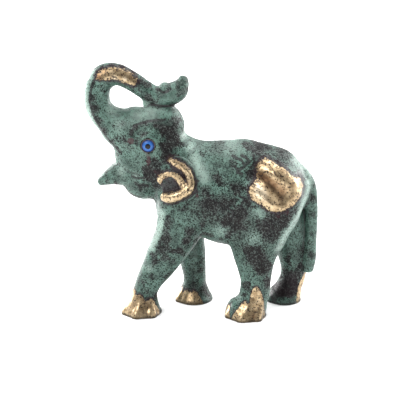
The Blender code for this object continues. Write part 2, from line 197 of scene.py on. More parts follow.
# Feet: centre of the sole, its radius, and its side of the body. A foot flares from the ankle,
# at share 0, to the sole, at share 1. It is made past the ground, and cut off there.
FOOT_PROFILE = [(8.4, -0.4), (6.2, 0), (3.9, 0.3), (2.1, 0.66), (0.7, 1), (-1.5, 1)]
FEET = {
    "left_forefoot": ((-17.4, -6.2), 5.95, LEFT),
    "right_forefoot": ((-2.3, 4.6), 5.7, RIGHT),
    "left_hind_foot": ((14, -6.9), 6.25, LEFT),
    "right_hind_foot": ((25.7, 5.6), 5.3, RIGHT),
}
# Ankles: x of the middle, and radius.
ANKLES = {
    "left_forefoot": (-16.7, 3.7),
    "right_forefoot": (-2.1, 3.4),
    "left_hind_foot": (16.2, 4.2),
    "right_hind_foot": (27.4, 3.7),
}
# Toes fan out from straight ahead towards the outer side, in degrees.
TOE_ANGLES = (-28, 24, 76, 128)
TOE_RADIUS = 1.9
TOE_RELIEF = 0.55

# The ear's leaf, as its middle (x, z) and radii, and its folds, as points of the side plane
# (x, z), with the share of the fold's radius there. EAR_LIFT is how far the middle of a fold
# stands out of the skin.
EAR_LEAF = ((-6.2, 42.6), (5.4, 1.4, 7))
EAR_RIM = [
    (-8.3, 48.4, 0.75), (-6, 47.4, 1), (-4.1, 46, 1.1), (-2.8, 44.2, 1.1), (-2.2, 42.3, 1.1),
    (-2.5, 40.9, 1.2), (-3.2, 39.8, 1.2),
]
EAR_FOLD = [
    (-11.6, 41.8, 0.8), (-10.9, 43.4, 0.85), (-8.8, 44.5, 0.85), (-6.8, 44.1, 1), (-5.2, 42.5, 1.2),
    (-4, 40.8, 1.3),
]
EAR_LOBE = [
    (-10.2, 37.5, 1), (-8.2, 37.6, 1.15), (-6, 38.5, 1.1), (-4.2, 39.4, 1), (-3, 40.2, 1),
]
# Each fold's line, its radius, and the radius of its crest that is rubbed bare.
EAR_FOLDS = [(EAR_RIM, 1.05, 0.9), (EAR_FOLD, 1, 0.85), (EAR_LOBE, 1.5, 1.3)]
EAR_LIFT = 1.2

# The eye's place in the side plane (x, z).
EYE = (-14.8, 52.2)

# Carved lines: points of the side plane (x, z), width, and height above the skin, which is
# below 0 for a groove. They are the same on both sides.
HIP_GROOVE = ([(16.2, 45.2), (19.6, 42.4), (23.4, 38.8)], 2.4, -1.1)
THIGH_SWELL = ([(15.6, 41.2), (18.2, 38.9), (20.8, 36.8)], 2.2, 0.9)
RUMP_SWELL = ([(22.4, 44.8), (25.8, 42), (27.2, 38.6)], 2.4, 0.6)
SHOULDER_GROOVE = ([(1.2, 35), (0.9, 29), (-0.6, 24)], 1.2, -0.5)
BROW_LINE = ([(-20.6, 53.6), (-18.6, 56.8), (-14.4, 58.6), (-8.6, 58.2)], 1, 0.2)
MOUTH_LINE = ([(-24.6, 46.2), (-21.6, 43.6), (-17.8, 42.6)], 0.8, -0.45)
CARVED_LINES = (HIP_GROOVE, THIGH_SWELL, RUMP_SWELL, SHOULDER_GROOVE, BROW_LINE, MOUTH_LINE)

# The hollow of the trunk's tip: its centre, its radius and its depth.
NOSTRILS = ((-7.9, 0, 69.6), 1.5, 1.5)
# The lip of that tip, and the cast metal that fills the narrow end of the trunk's loop.
TRUNK_LIP = ((-10.3, 0, 67), (2.1, 3, 2.3))
LOOP_FILL = ((-15.6, 0, 63.4), (1.5, 1.9, 1.9))


def smooth_rows(rows, steps):
    """The rows of numbers, with steps - 1 more between each two, on a Catmull-Rom curve."""
    rows = np.array(rows, float)
    padded = np.vstack([2 * rows[0] - rows[1], rows, 2 * rows[-1] - rows[-2]])
    made = []
    for before, start, end, after in zip(padded, padded[1:], padded[2:], padded[3:]):
        for t in np.arange(steps) / steps:
            bend = 2 * before - 5 * start + 4 * end - after
            twist = 3 * start - before - 3 * end + after
            made.append(start + 0.5 * t * (end - before + t * (bend + t * twist)))
    made.append(rows[-1])
    return np.array(made)


def rounded_ends(rows, rings=4):
    """The rows, with a half-round end of shrinking rings before the first and after the last."""
    made = [tuple(row) for row in rows]
    for near, inner, first in ((rows[0], rows[1], True), (rows[-1], rows[-2], False)):
        outward = (near[:3] - inner[:3]) / np.linalg.norm(near[:3] - inner[:3])
        reach = 0.5 * min(near[3], near[4])
        for ring in range(1, rings + 1):
            turn = math.pi / 2 * ring / (rings + 0.3)
            centre = near[:3] + outward * reach * math.sin(turn)
            row = (*centre, near[3] * math.cos(turn), near[4] * math.cos(turn))
            made.insert(0 if first else len(made), row)
    return np.array(made)


def add_limb(bm, stations, sides=28, steps=4):
    """A closed tube of elliptical rings along the stations, which are in figure units."""
    rows = rounded_ends(smooth_rows(stations, steps)) * UNIT
    centres = rows[:, :3]
    tangents = np.gradient(centres, axis=0)
    rings = []
    for centre, tangent, (side_radius, across_radius) in zip(centres, tangents, rows[:, 3:]):
        along = Vector(tangent).normalized()
        across = (Vector((0, 1, 0)) - along * along.y).normalized()
        side = along.cross(across)
        ring = []
        for index in range(sides):
            turn = math.tau * index / sides
            offset = side * side_radius * math.cos(turn) + across * across_radius * math.sin(turn)
            ring.append(bm.verts.new(Vector(centre) + offset))
        rings.append(ring)
    for ring, following in zip(rings, rings[1:]):
        for index in range(sides):
            after = (index + 1) % sides
            bm.faces.new((ring[index], ring[after], following[after], following[index]))
    bm.faces.new(rings[0])
    bm.faces.new(rings[-1])


def add_ellipsoid(bm, centre, radii):
    """An ellipsoid, with its centre and radii in figure units."""
    made = bmesh.ops.create_uvsphere(bm, u_segments=32, v_segments=20, radius=UNIT)
    place = Matrix.Translation(Vector(centre) * UNIT) @ Matrix.Diagonal((*radii, 1.0))
    bmesh.ops.transform(bm, matrix=place, verts=made["verts"])


def add_on_both_sides(bm, centre, radii):
    """An ellipsoid on the right, and its mirror on the left."""
    x, y, z = centre
    for side in (LEFT, RIGHT):
        add_ellipsoid(bm, (x, side * y, z), radii)


def mesh_from(bm, name):
    """A mesh with what is in bm, which is then freed."""
    mesh = bpy.data.meshes.new(name)
    bm.to_mesh(mesh)
    bm.free()
    return mesh


def evaluated_mesh(name, mesh, modifiers):
    """The mesh as it is after the modifiers, each (type, {setting: value})."""
    scratch = bpy.data.objects.new(name, mesh)
    bpy.context.collection.objects.link(scratch)
    for kind, settings in modifiers:
        modifier = scratch.modifiers.new(kind.title(), kind)
        for setting, value in settings.items():
            setattr(modifier, setting, value)
    graph = bpy.context.evaluated_depsgraph_get()
    made = bpy.data.meshes.new_from_object(scratch.evaluated_get(graph))
    bpy.data.objects.remove(scratch)
    return made


def fused(name, bm, voxel, smoothing, factor):
    """One skin around all the overlapping shapes in bm, with its seams smoothed."""
    bmesh.ops.recalc_face_normals(bm, faces=bm.faces)
    mesh = mesh_from(bm, name)
    remesh = {"mode": "VOXEL", "voxel_size": voxel * UNIT, "adaptivity": 0.0}
    smooth = {"factor": factor, "iterations": smoothing}
    return evaluated_mesh(name, mesh, [("REMESH", remesh), ("SMOOTH", smooth)])


def body_masses():
    """The torso, head and legs, fused and well smoothed."""
    bm = bmesh.new()
    legs = (LEFT_FORELEG, RIGHT_FORELEG, LEFT_HIND_LEG, RIGHT_HIND_LEG)
    for stations in (TORSO, NECK, TRUNK_ROOT, *legs):
        add_limb(bm, stations)
    for centre, radii in (CRANIUM, MUZZLE, JAW, CHEST):
        add_ellipsoid(bm, centre, radii)
    for centre, radii in (SHOULDER, HAUNCH, BROW):
        add_on_both_sides(bm, centre, radii)
    return fused("masses", bm, MASS_VOXEL, MASS_SMOOTHING, 0.8)


class Skin:
    """Finds points on a mesh, as seen from one side of the elephant."""

    def __init__(self, mesh):
        bm = bmesh.new()
        bm.from_mesh(mesh)
        self.tree = BVHTree.FromBMesh(bm)
        bm.free()

    def across(self, x, z, side):
        """The y where the skin is met at (x, z) from that side, all in figure units."""
        start = Vector((x, 0, z)) * UNIT + Vector((0, side * HEIGHT, 0))
        place = self.tree.ray_cast(start, Vector((0, -side, 0)))[0]
        return place.y / UNIT


def add_fold(bm, skin, line, radius, side):
    """A rounded ridge that follows the skin along a line of the side plane."""
    stations = []
    for x, z, share in line:
        y = skin.across(x, z, side) + side * EAR_LIFT
        stations.append((x, y, z, radius * share, radius * share))
    add_limb(bm, stations, sides=16)


def add_ear(bm, skin, side):
    """The ear's leaf, with its three folds."""
    (x, z), radii = EAR_LEAF
    add_ellipsoid(bm, (x, skin.across(x, z, side), z), radii)
    for line, radius, _ in EAR_FOLDS:
        add_fold(bm, skin, line, radius, side)


def add_foot(bm, name):
    """A foot that flares from the ankle to the sole, with its fan of toes."""
    (x, y), radius, side = FEET[name]
    ankle_x, ankle_radius = ANKLES[name]
    flare = []
    for z, share in FOOT_PROFILE:
        middle = ankle_x + (x - ankle_x) * share
        reach = ankle_radius + (radius - ankle_radius) * share
        flare.append((middle, y, z, reach, reach))
    add_limb(bm, flare)
    for angle in TOE_ANGLES:
        turn = math.radians(angle)
        toe = []
        for (middle, _, z, reach, _), (_, share) in zip(flare, FOOT_PROFILE):
            toe_radius = TOE_RADIUS * (0.4 + 0.6 * share)
            out = reach + TOE_RELIEF * share - toe_radius
            toe_x = middle - out * math.cos(turn)
            toe_y = y + side * out * math.sin(turn)
            toe.append((toe_x, toe_y, z, toe_radius, toe_radius))
        add_limb(bm, toe, sides=16)


def skin_with_features(masses):
    """The masses with the trunk, lip, tail, ears and feet fused on."""
    skin = Skin(masses)
    bm = bmesh.new()
    bm.from_mesh(masses)
    for stations in (TRUNK, LOWER_LIP, TAIL):
        add_limb(bm, stations)
    add_ellipsoid(bm, *TRUNK_LIP)
    add_ellipsoid(bm, *LOOP_FILL)
    for side in (LEFT, RIGHT):
        add_ear(bm, skin, side)
    for name in FEET:
        add_foot(bm, name)
    return fused("skin", bm, SKIN_VOXEL, SKIN_SMOOTHING, 0.5)


def distance_to_line(points, line):
    """How far each point of the side plane is from a line of points."""
    nearest = np.full(len(points), np.inf)
    for start, end in zip(line, line[1:]):
        start, run = np.array(start), np.subtract(end, start)
        share = np.clip((points - start) @ run / (run @ run), 0, 1)
        nearest = np.minimum(nearest, np.linalg.norm(points - start - share[:, None] * run, axis=1))
    return nearest


def falloff(distance, width):
    """1 where the distance is 0, falling smoothly away beyond the width."""
    return np.exp(-((distance / width) ** 2))


def coordinates(mesh):
    """The mesh's vertices in figure units."""
    points = np.empty(len(mesh.vertices) * 3, np.float32)
    mesh.vertices.foreach_get("co", points)
    return points.reshape(-1, 3).astype(float) / UNIT


def outward(mesh):
    """The normals at the mesh's vertices."""
    normals = np.empty(len(mesh.vertices) * 3, np.float32)
    mesh.vertices.foreach_get("normal", normals)
    return normals.reshape(-1, 3).astype(float)


def move_to(mesh, points):
    """Moves the mesh's vertices to the points, which are in figure units."""
    mesh.vertices.foreach_set("co", (points * UNIT).astype(np.float32).ravel())
    mesh.update()


def carve(mesh):
    """Presses the carved lines into both sides, and the hollow into the trunk's tip."""
    points, normals = coordinates(mesh), outward(mesh)
    lift = np.zeros(len(points))
    facing = np.clip(2 * np.abs(normals[:, 1]), 0, 1) * (normals[:, 1] * points[:, 1] > 0)
    for line, width, height in CARVED_LINES:
        distance = distance_to_line(points[:, [0, 2]], smooth_rows(line, 6))
        lift += height * facing * falloff(distance, width)
    centre, radius, depth = NOSTRILS
    distance = np.linalg.norm(points - centre, axis=1)
    lift -= depth * falloff(distance, radius) * np.clip(normals[:, 2], 0, 1)
    move_to(mesh, points + normals * lift[:, None])


def stand_on_ground(mesh):
    """Cuts the mesh off flat at the ground, and closes its four soles."""
    bm = bmesh.new()
    bm.from_mesh(mesh)
    everything = bm.verts[:] + bm.edges[:] + bm.faces[:]
    ground, up = (0, 0, 0), (0, 0, 1)
    near = 0.001 * UNIT
    bmesh.ops.bisect_plane(
        bm, geom=everything, dist=near, plane_co=ground, plane_no=up, clear_inner=True
    )
    rims = [edge for edge in bm.edges if edge.is_boundary]
    bmesh.ops.edgenet_fill(bm, edges=rims)
    bmesh.ops.triangulate(bm, faces=[face for face in bm.faces if len(face.verts) > 3])
    bmesh.ops.recalc_face_normals(bm, faces=bm.faces)
    bm.to_mesh(mesh)
    bm.free()


def round_bead(name, radius, thickness, rings=5, sides=28):
    """A disc with a domed front, turned about Y. Its front faces -Y and its back is at y = 0."""
    dome = thickness * 0.45
    profile = [(radius * 0.86, 0.0), (radius, -dome * 0.5)]
    for ring in range(rings):
        turn = math.pi / 2 * ring / rings
        profile.append((radius * math.cos(turn), -(thickness - dome) - dome * math.sin(turn)))
    bm = bmesh.new()
    back = bm.verts.new((0, 0, 0))
    front = bm.verts.new((0, -thickness, 0))
    turned = []
    for out, y in profile:
        turns = [math.tau * index / sides for index in range(sides)]
        turned.append([bm.verts.new((out * math.cos(t), y, out * math.sin(t))) for t in turns])
    for index in range(sides):
        after = (index + 1) % sides
        bm.faces.new((back, turned[0][index], turned[0][after]))
        bm.faces.new((front, turned[-1][after], turned[-1][index]))
        for ring, following in zip(turned, turned[1:]):
            bm.faces.new((ring[index], following[index], following[after], ring[after]))
    bmesh.ops.recalc_face_normals(bm, faces=bm.faces)
    return mesh_from(bm, name)


# The rubbed patches of bare bronze. Each is an outline in the side plane (x, z).
CURL_PATCH = [
    (-30, 71.2), (-28.8, 72.8), (-26.1, 73.7), (-22.7, 73.4), (-19.8, 72), (-18.2, 69.9),
    (-19.4, 68.7), (-22, 69.8), (-24, 70.4), (-26.6, 70.5), (-29.2, 70.4),
]
HAUNCH_PATCH = [
    (17.2, 48.2), (19.3, 48.6), (22.3, 47.3), (24.8, 45.9), (26.4, 44.2), (28.7, 43), (29.7, 41),
    (29.4, 38.4), (27.9, 36.6), (25.1, 34.9), (22.3, 34.5), (19.8, 35.1), (17.9, 36.7), (15.4, 38),
    (14.4, 40.3), (15.2, 42.4), (16.4, 43.7), (16.3, 46.2),
]
# Flames of bare bronze that rise from the sole: angle from straight ahead towards the outer
# side and half-width, both in degrees, and height in figure units.
FLAMES = {
    "left_forefoot": [(2, 38, 10.5), (40, 60, 7.8), (84, 46, 6.8), (126, 44, 5.4), (-50, 50, 5)],
    "right_forefoot": [(-62, 50, 4), (-94, 30, 4.2), (-20, 50, 4), (40, 60, 5.5), (95, 40, 4)],
    "left_hind_foot": [(18, 24, 3.8), (84, 40, 5.6), (126, 34, 10.5), (110, 60, 5.4), (-30, 40, 4)],
    "right_hind_foot": [(-165, 30, 10), (20, 36, 4), (70, 40, 5.5), (118, 36, 4.5)],
}
# Darker clouds in the patina of the side plane: x, z, radius, strength.
CLOUDS = [
    (6, 52.8, 2.4, 0.7), (16.8, 51.2, 2.7, 0.8), (24.2, 49.8, 3, 0.7), (14.6, 44.9, 1.5, 1),
    (15.6, 39.8, 1.2, 0.6), (10.5, 41, 1.8, 1.1), (6.8, 36.7, 2.7, 0.8), (3, 35.7, 1.8, 0.8),
    (12.2, 33.8, 1.8, 1.1), (13.9, 37.7, 1.2, 0.8), (23.4, 32.8, 2.7, 1.2), (21, 26.9, 2.1, 1.1),
    (18.6, 29.9, 1.5, 0.7), (8.8, 31, 1.8, 0.5), (2.2, 40.5, 1.5, 0.4), (17.1, 19.3, 2.4, 1.2),
    (18.9, 16.2, 2.1, 1.1), (20.7, 10.8, 1.5, 0.9), (15, 21.7, 1.5, 0.7), (-9.9, 25, 1.8, 1.1),
    (-11.1, 21.2, 1.5, 0.8), (-2.6, 27, 1.2, 1.2), (-3.7, 24.2, 1.2, 1.2), (-5.8, 21.3, 1.2, 1),
    (-13.2, 17.4, 1.5, 0.8), (-14.2, 12.6, 1.2, 0.7), (-7.9, 17.5, 1.2, 0.6),
    (-12.8, 5.9, 1.2, 0.9), (-8.7, 30, 1.5, 0.6), (-0.3, 10.4, 1.5, 0.8), (-2.4, 5.4, 1.8, 0.9),
    (0.9, 3.8, 1.5, 1), (27.6, 6, 2.4, 1.8), (24.6, 3.7, 1.8, 1.8), (29.9, 10.4, 1.8, 1.2),
    (30.3, 17.5, 1.5, 0.7), (26.8, 15.9, 1.5, 0.5), (29.5, 4.4, 1.5, 1.5), (33.4, 29.8, 1.2, 0.8),
    (33, 17.1, 1.2, 0.6), (33.4, 39.1, 1.2, 0.6), (33.1, 23.5, 0.9, 0.6), (-9.5, 56.7, 2.1, 1.3),
    (-7.5, 53.8, 1.8, 1.3), (-9.3, 51.4, 1.8, 1.1), (-12.4, 58.5, 1.5, 0.9),
    (-15.8, 58.4, 1.2, 0.8), (-18.4, 57.2, 1.2, 0.8), (-19.9, 55.4, 0.9, 0.7),
    (-7.5, 58.5, 1.5, 1.1), (-14, 42.3, 2.1, 1.2), (-11.7, 44.2, 1.8, 1), (-15.5, 44.7, 1.5, 0.8),
    (-12.6, 39.9, 1.5, 0.9), (-17, 38.6, 1.5, 0.7), (-9.6, 48.4, 1.5, 0.9),
    (-13.4, 47.2, 1.5, 0.5), (-29.8, 72.2, 0.9, 1), (-31, 68.7, 0.9, 1), (-30.9, 65.2, 0.9, 1),
    (-30.1, 62, 1.2, 1.1), (-29.6, 58.4, 1.2, 1), (-27.9, 55.5, 1.2, 0.9), (-25.7, 52.2, 0.9, 0.9),
    (-24.3, 50.4, 0.7, 0.8), (-28.3, 73.4, 0.7, 1.3), (-25.4, 74.2, 0.7, 1.3),
    (-22.3, 74, 0.7, 1.3), (-19.4, 72.3, 0.7, 1.3), (-17.2, 69.8, 0.9, 1.1),
    (-15.2, 68.6, 0.9, 0.7), (-4.3, 70.5, 1, 1.3), (-6, 69.3, 0.9, 1.1), (-3.7, 67.6, 0.9, 0.8),
    (-15.2, 65.1, 1.2, 1.6), (-13.5, 63.4, 1.2, 1), (-8.4, 63.1, 0.9, 0.8), (7, 30, 7, 0.35),
    (16, 27, 7, 0.4), (24, 33, 5, 0.4), (1, 33, 5, 0.25), (-2, 38, 4, 0.2),
]
# Purple-brown spots: x, z, radius, strength.
SPOTS = [
    (-19.6, 53.4, 1, 1), (-14.9, 49.5, 0.7, 0.9), (-14.6, 47.6, 0.6, 0.9), (-15, 46.4, 0.5, 0.7),
    (-12.8, 44.4, 1.2, 0.5), (-16.4, 41.6, 0.9, 0.5), (-15, 50.2, 0.5, 1.2),
    (-14.6, 48.8, 0.5, 1.2), (-14.8, 47.4, 0.5, 1), (-20.2, 53.2, 0.6, 1.2), (-10, 44.6, 0.8, 0.6),
    (-0.6, 38.4, 0.8, 0.8), (22.6, 33, 1.6, 0.5), (25.4, 34, 1.2, 0.6),
]
# Paler, cleaner stretches of patina, some of them painted highlights where light falls, as on the
# neck and the back of the head: x, z, radius, strength.
PALE_PATINA_AND_HIGHLIGHTS = [
    (-1.5, 48.2, 1.7, 0.8), (0, 45.9, 1.7, 0.7), (1.4, 43.5, 1.7, 0.6), (-2.9, 51.2, 1.2, 0.8),
    (-4.9, 54.1, 1.2, 0.8), (9.1, 51.4, 2.4, 0.4), (-25.7, 61.5, 1.8, 0.5), (-23.5, 57, 1.8, 0.4),
    (-17.1, 61, 2.7, 0.5), (-14.1, 62.2, 1.8, 0.5), (-23, 43.4, 1.5, 0.7), (-18.6, 42.3, 1.2, 0.6),
    (17.4, 33.8, 2.2, 0.4), (15.8, 25.9, 2.2, 0.4), (6.5, 27.5, 2.2, 0.4), (11.3, 11.1, 1.2, 0.5),
    (-14.9, 15.3, 1.2, 0.5), (-16.7, 17.7, 0.9, 0.4),
]
# Painted highlights: pale edges that run along the outline, where light glances off the rim: points
# (x, z), and width.
PAINTED_EDGE_HIGHLIGHTS = [
    ([(28.1, 47.5), (30.2, 45.1), (31.7, 42.2), (31.8, 39.1), (30.7, 36.1), (29.1, 33),
      (26.8, 29.2), (24.9, 25.8), (23.2, 22)], 1),
    ([(-26.7, 50.4), (-29, 53.7), (-31, 57), (-32.3, 60.5), (-33.3, 64.7), (-32.9, 68.8),
      (-31.1, 72)], 1),
    ([(-13.9, 21.4), (-12, 25.9), (-11.1, 29.4), (-10.8, 32.5)], 0.9),
]
# Painted shade in the hollows of the ear: x, z, radius, strength.
EAR_HOLLOW_SHADE = [
    (-7.6, 46.6, 1, 1.2), (-5.6, 46, 1.1, 1.2), (-4, 44.4, 1.1, 1.2), (-3, 42.6, 0.8, 1.2),
    (-9.2, 42.6, 1, 0.6), (-7.4, 42.2, 1.3, 0.8), (-6.6, 40.6, 1.1, 1.2), (-9.6, 40.2, 1.4, 1.2),
    (-0.6, 39.6, 0.8, 1), (-0.2, 42.6, 0.6, 0.9), (-3.4, 37.4, 1, 0.6), (-11.4, 40.2, 1.2, 0.9),
]
# Low swells and hollows within the rubbed haunch: x, z, radius, height.
HAUNCH_RELIEF = [
    (17.6, 40.2, 2.1, 0.6), (18.8, 43.8, 1.6, -0.3), (21.3, 41.9, 1.8, -0.4), (24, 40, 2, -0.3),
]
# Painted highlight and shade on the bare bronze: brighter over 0, and browner below 0, as painted
# shade with brown dirt: x, z, radius, strength.
BRONZE_HIGHLIGHTS_AND_SHADE = [
    (17.6, 40.3, 1.6, 1.1), (16.4, 42, 1, 0.4), (19.4, 38.2, 1.6, 0.3), (28.2, 42.4, 1.9, -0.45),
    (19.4, 46.9, 1.5, 0.2), (18, 44.3, 1.4, -1), (19.7, 43.2, 1.3, -0.9), (21.4, 42, 1.5, -0.8),
    (23.7, 40.4, 1.8, -0.75), (-29.2, 71.4, 1.3, -0.8), (-27.4, 72.8, 1, -0.5),
    (-24.6, 71, 0.8, 0.6), (-21.6, 70.6, 0.8, 0.6), (-18, 7.4, 2.6, -0.4), (-19.8, 3, 1.6, -0.4),
    (18.2, 9, 2.2, -0.3), (-12.2, 2, 1.2, -0.4), (18, 6, 1.2, 0.2), (14.4, 3.6, 1, 0.3),
    (16.2, 1.6, 1, -0.8), (19.6, 3, 1.2, -0.3), (-8, 37.4, 1.2, 0.3), (-3, 43.2, 0.9, 0.3),
]
# Smooth stretches of patina with few specks: x, z, radius, strength.
CLEAN = [
    (-25.7, 64.6, 2.2, 0.8), (-22.8, 60.9, 2.6, 0.8), (-18.4, 60.9, 2.6, 1), (-14, 60.9, 2.6, 1),
    (-10.3, 61.2, 2.4, 1), (-14, 67.1, 2, 0.8), (-9.7, 65.5, 2.4, 0.8), (-5.9, 66.9, 1.8, 0.7),
    (-20.5, 52.2, 2, 0.4), (-27.2, 59, 1.8, 0.5), (0, 47, 3, 0.5), (2, 42.6, 2.6, 0.5),
    (4, 26.6, 2.4, 0.4), (-9, 26, 2, 0.5), (-13, 18.6, 2.2, 0.4), (10, 50.6, 3, 0.4),
    (17.4, 33.8, 2, 0.3), (30.4, 26, 2.6, 0.4), (12, 13, 2.4, 0.4), (-1.6, 18, 2.4, 0.5),
]
# Where the bare bronze is most pitted: x, z, radius, strength.
PITTED = [
    (19.4, 45.6, 1.3, 1), (21.8, 45.2, 1.2, 1), (24.2, 43.8, 1.1, 0.8), (26.6, 42, 1, 0.6),
    (17, 43, 1.2, 0.7), (15.8, 40.6, 1, 0.5), (17.6, 47, 0.9, 0.5), (-3.6, 40.6, 1.6, 0.5),
    (-7.4, 38, 1.2, 0.5), (-2.6, 43.4, 1, 0.4), (-27, 72.6, 1.4, 0.5), (-24, 72.8, 1.2, 0.4),
    (-16.5, 3.2, 2, 0.3), (14, 2.6, 2.2, 0.3), (18.4, 4, 1.6, 0.3),
]
# Painted shade on the low parts of the right feet, which stand behind: x, z, radius, strength.
FAR_FOOT_SHADE = [
    (23.6, 2.6, 3.2, 1.1), (27, 5, 3, 1.1), (27.6, 9, 2.6, 0.8), (1.8, 5.6, 1.8, 0.7),
    (-2, 6.8, 2, 0.4),
]

# Dark marks scratched into the sides: points (x, z) of each line.
MARKS = [
    [(9.5, 49.4), (10.6, 48.8), (12, 48.4), (12.9, 47.1)],
    [(10.1, 46.8), (11.2, 46), (12.6, 46.5), (13.8, 47.7)],
    [(12, 49.5), (13.5, 48.9), (14.6, 48)],
    [(15.4, 52.3), (16.5, 51.4), (17.7, 50.7), (18.5, 51)],
    [(14.6, 51.3), (15.7, 50.4)],
    [(15.4, 49.5), (15.7, 48), (14.9, 46.5)],
    [(10.9, 45.3), (12.4, 44.9)],
    [(2.3, 53.3), (3.5, 52.7)],
    [(1.9, 36.6), (3.6, 37.3), (5.3, 36.4)],
    [(8.2, 35.2), (9.9, 34), (9.7, 32.2)],
    [(11.6, 38.9), (13.1, 38), (12.2, 35.9), (13.4, 34.1)],
    [(18.6, 31.2), (20.3, 30), (19.8, 27.5)],
    [(15, 44.9), (15.8, 43.4), (14.7, 41.6)],
    [(-19.9, 42.1), (-18.1, 41.7), (-15.8, 42.2)],
    [(-19, 40.4), (-17.9, 39.5), (-16.7, 39.9), (-15.2, 39.3)],
    [(-19.9, 55.4), (-18.3, 57.7), (-15.5, 58.7), (-12.7, 59.2), (-10.1, 59.4)],
    [(-11, 52), (-9, 50.2), (-7.3, 48.6)],
    [(-14.8, 49.3), (-14.2, 47.8), (-14.7, 46)],
    [(-16, 44.4), (-14, 43.9), (-12, 44.8)],
    [(-28.9, 72), (-30.4, 70.2), (-31.4, 67.3), (-31.8, 64), (-31.1, 60.8), (-29.8, 57.5),
     (-28, 54.6), (-25.7, 51.6), (-23.7, 49.5)],
    [(-12.6, 67.6), (-11.5, 67.1), (-10.3, 66.9), (-9.2, 67.4)],
    [(-14.1, 63.2), (-11.8, 62.8), (-8.9, 62.8), (-6.9, 63.5)],
]

# Display colours, as 8-bit red, green and blue.
COLOURS = {
    "deep_green": (44, 66, 58), "green": (76, 104, 93), "light_green": (96, 128, 116),
    "pale_green_and_highlight": (168, 188, 178), "ridge_highlight_green": (110, 142, 130), "cloud": (52, 49, 50),
    "pit": (10, 11, 11), "brown_pit": (24, 19, 20), "vein": (22, 22, 23), "mark": (20, 19, 20),
    "spot": (50, 24, 29), "hollow_shade": (30, 23, 26), "crease_dirt_and_shade": (20, 18, 19), "burnt": (34, 23, 26),
    "bronze": (140, 119, 90), "light_bronze": (184, 163, 130), "painted_bronze_highlight": (236, 220, 192),
    "brown_bronze_and_shade": (96, 68, 46), "bronze_crease_shade": (84, 60, 42), "bronze_ridge_highlight": (226, 206, 170),
    "bronze_pit": (34, 23, 18), "foot_contact_shade": (22, 20, 20), "bead_light": (50, 99, 165),
    "bead_dark": (27, 56, 112), "pupil": (4, 5, 12), "glue": (30, 26, 26),
    "light_glue": (58, 44, 42),
}

# The depth inside a rubbed patch, in figure units, where that patch can't be.
OUTSIDE = -9.0
# How much smaller the patches are on the hidden right side.
HIDDEN_MARGIN = 0.4
# The curl's patch is above this height, and the feet's flames are within this radius and height.
CURL_FLOOR = 60
FLAME_REACH, FLAME_CEILING = 9.5, 12
# The ear is further from the middle than EAR_OUT, between these x.
EAR_OUT, EAR_FRONT, EAR_BACK = 7.0, -13, 1
# The cast unevenness: how many swells a figure unit has, and their height, in figure units.
CAST_NOISE = [(0.22, 0.10), (1.1, 0.05)]
# How wide a scratched mark is, in figure units.
MARK_WIDTH = 0.42
# A skin faces sideways where its normal's share across the body is over this.
SIDE_ON = 0.3
# The painted shade on the right feet is below this height.
FAR_FOOT_SHADE_CEILING = 16


def depth_inside(points, outline):
    """How far points of the side plane are inside a closed outline; outside it is below 0."""
    loop = smooth_rows([*outline, outline[0]], 4)
    inside = np.zeros(len(points), bool)
    for (x0, z0), (x1, z1) in zip(loop, loop[1:]):
        crosses = (z0 > points[:, 1]) != (z1 > points[:, 1])
        at = x0 + (points[:, 1] - z0) * (x1 - x0) / (z1 - z0 if z1 != z0 else 1e-9)
        inside ^= crosses & (points[:, 0] < at)
    distance = distance_to_line(points, loop)
    return np.where(inside, distance, -distance)


def flame_depth(points, name):
    """How far points are below the top of a foot's flames of bare bronze."""
    (x, y), _, side = FEET[name]
    ahead = x - points[:, 0]
    out = side * (points[:, 1] - y)
    angle = np.degrees(np.arctan2(out, ahead))
    best = np.full(len(points), OUTSIDE)
    for middle, width, height in FLAMES[name]:
        turn = np.abs((angle - middle + 180) % 360 - 180) / width
        top = height * (1 - turn ** 2)
        best = np.maximum(best, np.minimum(top - points[:, 2], 2.0))
    near = np.hypot(ahead, out) < FLAME_REACH
    return np.where(near & (points[:, 2] < FLAME_CEILING), best, OUTSIDE)


def near_ear(points):
    """Which points are beside the head, where the ear is."""
    out, x = np.abs(points[:, 1]), points[:, 0]
    return (out > EAR_OUT) & (x > EAR_FRONT) & (x < EAR_BACK)


def ear_depth(points):
    """How far points are inside the rubbed folds of the ear."""
    best = np.full(len(points), OUTSIDE)
    for line, _, radius in EAR_FOLDS:
        for x, z, share in smooth_rows(line, 8):
            away = np.hypot(points[:, 0] - x, points[:, 2] - z)
            best = np.maximum(best, radius * share - away)
    return np.where(near_ear(points), best, OUTSIDE)


def bareness(points, normals):
    """How far points are inside a rubbed patch; outside them it is below 0."""
    plane = points[:, [0, 2]]
    margin = HIDDEN_MARGIN * (points[:, 1] >= 0)
    curl = np.where(points[:, 2] > CURL_FLOOR, depth_inside(plane, CURL_PATCH) - margin, OUTSIDE)
    haunch = depth_inside(plane, HAUNCH_PATCH) - margin
    rubbed = np.maximum(curl, np.where(np.abs(normals[:, 1]) > 0.15, haunch, OUTSIDE))
    rubbed = np.maximum(rubbed, ear_depth(points))
    for name in FEET:
        rubbed = np.maximum(rubbed, flame_depth(points, name))
    return rubbed


def blobs(points, rows):
    """The sum of soft round spots of the side plane: x, z, radius, strength."""
    total = np.zeros(len(points))
    for x, z, radius, strength in rows:
        total += strength * falloff(np.hypot(points[:, 0] - x, points[:, 2] - z), radius)
    return total


